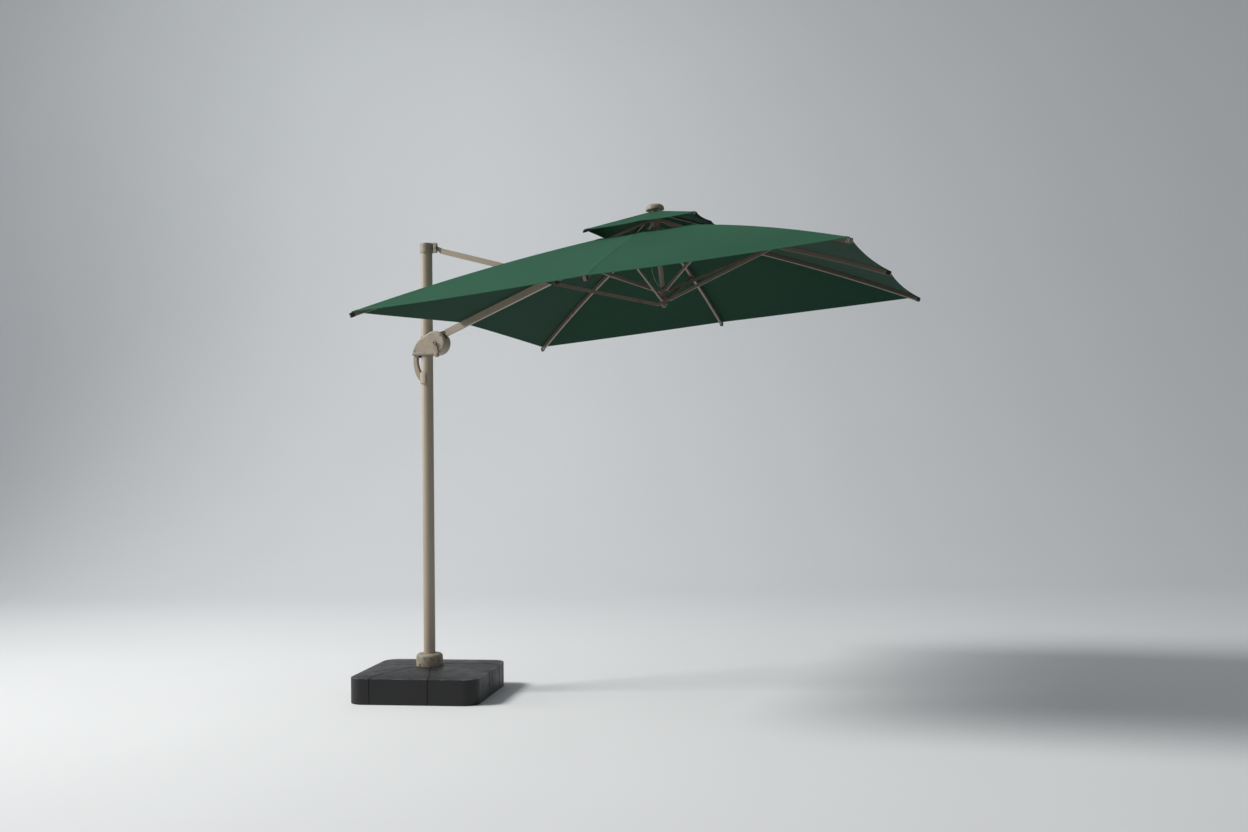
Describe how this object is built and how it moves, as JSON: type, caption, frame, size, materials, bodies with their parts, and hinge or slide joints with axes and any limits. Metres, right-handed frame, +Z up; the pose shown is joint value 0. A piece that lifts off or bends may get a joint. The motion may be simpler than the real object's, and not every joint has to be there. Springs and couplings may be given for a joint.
{
  "type": "cantilever parasol",
  "caption": "Square vented canopy hung from a boom that slides on a swivelling mast and folds by a strut linkage, on a filled square base with a crank and handle.",
  "frame": {"origin": "centre of the base's underside, on the mast's axis", "axes": "+Z up along the mast, +X out along the boom towards the canopy, +Y towards the far side"},
  "size_m": [3.1503, 2.527, 2.785],
  "materials": {
    "base_plastic": "moulded charcoal plastic",
    "ballast": "water or sand filling",
    "collar_plastic": "beige moulded plastic",
    "bright_steel": "bright plated steel",
    "spindle_steel": "painted steel",
    "mast_paint": "champagne powder coat",
    "rib_paint": "taupe powder coat",
    "casing_plastic": "taupe moulded plastic",
    "dark_plastic": "black moulded plastic",
    "crank_metal": "painted steel",
    "canopy_cloth": "woven green polyester",
    "cord_braid": "pale braided cord"
  },
  "bodies": {
    "base": {"base_shell": "base_plastic", "ballast_fill": "ballast", "base_collar": "collar_plastic", "collar_screws": "bright_steel", "spindle": "spindle_steel"},
    "mast": {"mast_tube": "mast_paint", "mast_cap": "collar_plastic", "mast_cap_pin": "bright_steel"},
    "upper_strut": {"upper_strut_bar": "mast_paint", "upper_strut_ends": "spindle_steel"},
    "boom": {"boom_tube": "mast_paint", "boom_end_fittings": "spindle_steel", "boom_bracket": "spindle_steel", "knuckle_bolt": "bright_steel", "canopy_boom": "canopy_cloth"},
    "slider": {"slider_casing_near": "casing_plastic", "slider_casing_far": "casing_plastic", "slider_carriage": "spindle_steel", "slider_pin": "bright_steel", "casing_bolts": "bright_steel"},
    "crank": {"cord_drum": "dark_plastic", "crank_arm": "crank_metal"},
    "knob": {"crank_knob": "casing_plastic"},
    "trigger": {"latch_trigger": "dark_plastic"},
    "hub": {"crown": "rib_paint", "crown_pins": "bright_steel", "spacer_tube": "mast_paint", "finial": "collar_plastic", "hub_cord": "cord_braid"},
    "runner": {"runner": "rib_paint"},
    "boom_side_strut": {"strut_boom": "rib_paint"},
    "rib_right_mid": {"rib_right_mid": "rib_paint", "canopy_right_mid": "canopy_cloth"},
    "strut_right_mid": {"strut_right_mid": "rib_paint"},
    "rib_far_right": {"rib_far_right": "rib_paint", "canopy_far_right": "canopy_cloth"},
    "strut_far_right": {"strut_far_right": "rib_paint"},
    "rib_far_mid": {"rib_far_mid": "rib_paint", "canopy_far_mid": "canopy_cloth"},
    "strut_far_mid": {"strut_far_mid": "rib_paint"},
    "rib_far_left": {"rib_far_left": "rib_paint", "canopy_far_left": "canopy_cloth"},
    "strut_far_left": {"strut_far_left": "rib_paint"},
    "rib_near_left": {"rib_near_left": "rib_paint", "canopy_near_left": "canopy_cloth"},
    "strut_near_left": {"strut_near_left": "rib_paint"},
    "rib_near_mid": {"rib_near_mid": "rib_paint", "canopy_near_mid": "canopy_cloth"},
    "strut_near_mid": {"strut_near_mid": "rib_paint"},
    "rib_near_right": {"rib_near_right": "rib_paint", "canopy_near_right": "canopy_cloth"},
    "strut_near_right": {"strut_near_right": "rib_paint"},
    "vent_rib_far_right": {"vent_rib_far_right": "rib_paint", "vent_far_right": "canopy_cloth"},
    "vent_rib_far_left": {"vent_rib_far_left": "rib_paint", "vent_far_left": "canopy_cloth"},
    "vent_rib_near_left": {"vent_rib_near_left": "rib_paint", "vent_near_left": "canopy_cloth"},
    "vent_rib_near_right": {"vent_rib_near_right": "rib_paint", "vent_near_right": "canopy_cloth"}
  },
  "joints": [
    {"name": "swivel", "type": "hinge", "parent": "base", "child": "mast", "pos_m": [0, 0, 0.2], "axis": [0, 0, 1], "continuous": true},
    {"name": "fold", "type": "hinge", "parent": "mast", "child": "upper_strut", "pos_m": [0.06, 0, 2.628], "axis": [0, 1, 0], "range_deg": [0, 56], "deforming": ["canopy_boom", "canopy_right_mid", "canopy_far_right", "canopy_far_mid", "canopy_far_left", "canopy_near_left", "canopy_near_mid", "canopy_near_right", "vent_far_right", "vent_far_left", "vent_near_left", "vent_near_right"]},
    {"name": "knuckle", "type": "hinge", "parent": "upper_strut", "child": "boom", "pos_m": [0.82354, 0, 2.36908], "axis": [0, 1, 0], "range_deg": [-113, 1]},
    {"name": "slider_pivot", "type": "hinge", "parent": "boom", "child": "slider", "pos_m": [0.06, 0, 2.11017], "axis": [0, 1, 0], "range_deg": [-1, 57]},
    {"name": "hub_pivot", "type": "hinge", "parent": "boom", "child": "hub", "pos_m": [1.39242, 0, 2.61561], "axis": [0, 1, 0], "range_deg": [-1, 62]},
    {"name": "boom_strut_pivot", "type": "hinge", "parent": "boom", "child": "boom_side_strut", "pos_m": [0.82354, 0, 2.36908], "axis": [0, 1, 0], "range_deg": [-1, 123]},
    {"name": "rib_right_mid_hinge", "type": "hinge", "parent": "hub", "child": "rib_right_mid", "pos_m": [1.47054, 0, 2.64052], "axis": [0, 1, 0], "range_deg": [-1, 62]},
    {"name": "strut_right_mid_pivot", "type": "hinge", "parent": "rib_right_mid", "child": "strut_right_mid", "pos_m": [2.07359, 0, 2.49652], "axis": [0, 1, 0], "range_deg": [-123, 1]},
    {"name": "rib_far_right_hinge", "type": "hinge", "parent": "hub", "child": "rib_far_right", "pos_m": [1.45408, 0.02828, 2.69429], "axis": [-0.7044, 0.7071, -0.0616], "range_deg": [-1, 62]},
    {"name": "strut_far_right_pivot", "type": "hinge", "parent": "rib_far_right", "child": "strut_far_right", "pos_m": [1.8855, 0.4442, 2.53527], "axis": [-0.7044, 0.7071, -0.0616], "range_deg": [-123, 1]},
    {"name": "rib_far_mid_hinge", "type": "hinge", "parent": "hub", "child": "rib_far_mid", "pos_m": [1.4307, 0.04, 2.63703], "axis": [-0.9962, 0, -0.0872], "range_deg": [-1, 62]},
    {"name": "strut_far_mid_pivot", "type": "hinge", "parent": "rib_far_mid", "child": "strut_far_mid", "pos_m": [1.44778, 0.6282, 2.44177], "axis": [-0.9962, 0, -0.0872], "range_deg": [-123, 1]},
    {"name": "rib_far_left_hinge", "type": "hinge", "parent": "hub", "child": "rib_far_left", "pos_m": [1.39773, 0.02828, 2.68936], "axis": [-0.7044, -0.7071, -0.0616], "range_deg": [-1, 62]},
    {"name": "strut_far_left_pivot", "type": "hinge", "parent": "rib_far_left", "child": "strut_far_left", "pos_m": [1.00047, 0.4442, 2.45784], "axis": [-0.7044, -0.7071, -0.0616], "range_deg": [-123, 1]},
    {"name": "rib_near_left_hinge", "type": "hinge", "parent": "hub", "child": "rib_near_left", "pos_m": [1.39773, -0.02828, 2.68936], "axis": [0.7044, -0.7071, 0.0616], "range_deg": [-1, 62]},
    {"name": "strut_near_left_pivot", "type": "hinge", "parent": "rib_near_left", "child": "strut_near_left", "pos_m": [1.00047, -0.4442, 2.45784], "axis": [0.7044, -0.7071, 0.0616], "range_deg": [-123, 1]},
    {"name": "rib_near_mid_hinge", "type": "hinge", "parent": "hub", "child": "rib_near_mid", "pos_m": [1.4307, -0.04, 2.63703], "axis": [0.9962, 0, 0.0872], "range_deg": [-1, 62]},
    {"name": "strut_near_mid_pivot", "type": "hinge", "parent": "rib_near_mid", "child": "strut_near_mid", "pos_m": [1.44778, -0.6282, 2.44177], "axis": [0.9962, 0, 0.0872], "range_deg": [-123, 1]},
    {"name": "rib_near_right_hinge", "type": "hinge", "parent": "hub", "child": "rib_near_right", "pos_m": [1.45408, -0.02828, 2.69429], "axis": [0.7044, 0.7071, 0.0616], "range_deg": [-1, 62]},
    {"name": "strut_near_right_pivot", "type": "hinge", "parent": "rib_near_right", "child": "strut_near_right", "pos_m": [1.8855, -0.4442, 2.53527], "axis": [0.7044, 0.7071, 0.0616], "range_deg": [-123, 1]},
    {"name": "runner_pivot", "type": "hinge", "parent": "strut_right_mid", "child": "runner", "pos_m": [1.50471, 0, 2.24999], "axis": [0, 1, 0], "range_deg": [-1, 62]},
    {"name": "vent_rib_far_right_hinge", "type": "hinge", "parent": "hub", "child": "vent_rib_far_right", "pos_m": [1.46247, 0.0396, 2.72815], "axis": [-0.7044, 0.7071, -0.0616], "range_deg": [-1, 62]},
    {"name": "vent_rib_far_left_hinge", "type": "hinge", "parent": "hub", "child": "vent_rib_far_left", "pos_m": [1.38358, 0.0396, 2.72124], "axis": [-0.7044, -0.7071, -0.0616], "range_deg": [-1, 62]},
    {"name": "vent_rib_near_left_hinge", "type": "hinge", "parent": "hub", "child": "vent_rib_near_left", "pos_m": [1.38358, -0.0396, 2.72124], "axis": [0.7044, -0.7071, 0.0616], "range_deg": [-1, 62]},
    {"name": "vent_rib_near_right_hinge", "type": "hinge", "parent": "hub", "child": "vent_rib_near_right", "pos_m": [1.46247, -0.0396, 2.72815], "axis": [0.7044, 0.7071, 0.0616], "range_deg": [-1, 62]},
    {"name": "crank_turn", "type": "hinge", "parent": "slider", "child": "crank", "pos_m": [0.074, -0.05, 2.05817], "axis": [0, -1, 0], "continuous": true},
    {"name": "knob_spin", "type": "hinge", "parent": "crank", "child": "knob", "pos_m": [0.096, -0.07, 1.98317], "axis": [0, -1, 0], "continuous": true},
    {"name": "trigger_press", "type": "slide", "parent": "slider", "child": "trigger", "axis": [0, 0, 1], "range_m": [0, 0.006], "stiffness_N_per_m": 300, "springref_m": -0.002}
  ],
  "couplings": [
    {"joint": "knuckle", "follows": "fold", "ratio": -2},
    {"joint": "slider_pivot", "follows": "fold", "ratio": 1},
    {"joint": "hub_pivot", "follows": "fold", "ratio": 1.0893},
    {"joint": "boom_strut_pivot", "follows": "fold", "ratio": 2.1786},
    {"joint": "rib_right_mid_hinge", "follows": "fold", "ratio": 1.0893},
    {"joint": "strut_right_mid_pivot", "follows": "fold", "ratio": -2.1786},
    {"joint": "rib_far_right_hinge", "follows": "fold", "ratio": 1.0893},
    {"joint": "strut_far_right_pivot", "follows": "fold", "ratio": -2.1786},
    {"joint": "rib_far_mid_hinge", "follows": "fold", "ratio": 1.0893},
    {"joint": "strut_far_mid_pivot", "follows": "fold", "ratio": -2.1786},
    {"joint": "rib_far_left_hinge", "follows": "fold", "ratio": 1.0893},
    {"joint": "strut_far_left_pivot", "follows": "fold", "ratio": -2.1786},
    {"joint": "rib_near_left_hinge", "follows": "fold", "ratio": 1.0893},
    {"joint": "strut_near_left_pivot", "follows": "fold", "ratio": -2.1786},
    {"joint": "rib_near_mid_hinge", "follows": "fold", "ratio": 1.0893},
    {"joint": "strut_near_mid_pivot", "follows": "fold", "ratio": -2.1786},
    {"joint": "rib_near_right_hinge", "follows": "fold", "ratio": 1.0893},
    {"joint": "strut_near_right_pivot", "follows": "fold", "ratio": -2.1786},
    {"joint": "runner_pivot", "follows": "fold", "ratio": 1.0893},
    {"joint": "vent_rib_far_right_hinge", "follows": "fold", "ratio": 1.0893},
    {"joint": "vent_rib_far_left_hinge", "follows": "fold", "ratio": 1.0893},
    {"joint": "vent_rib_near_left_hinge", "follows": "fold", "ratio": 1.0893},
    {"joint": "vent_rib_near_right_hinge", "follows": "fold", "ratio": 1.0893}
  ]
}
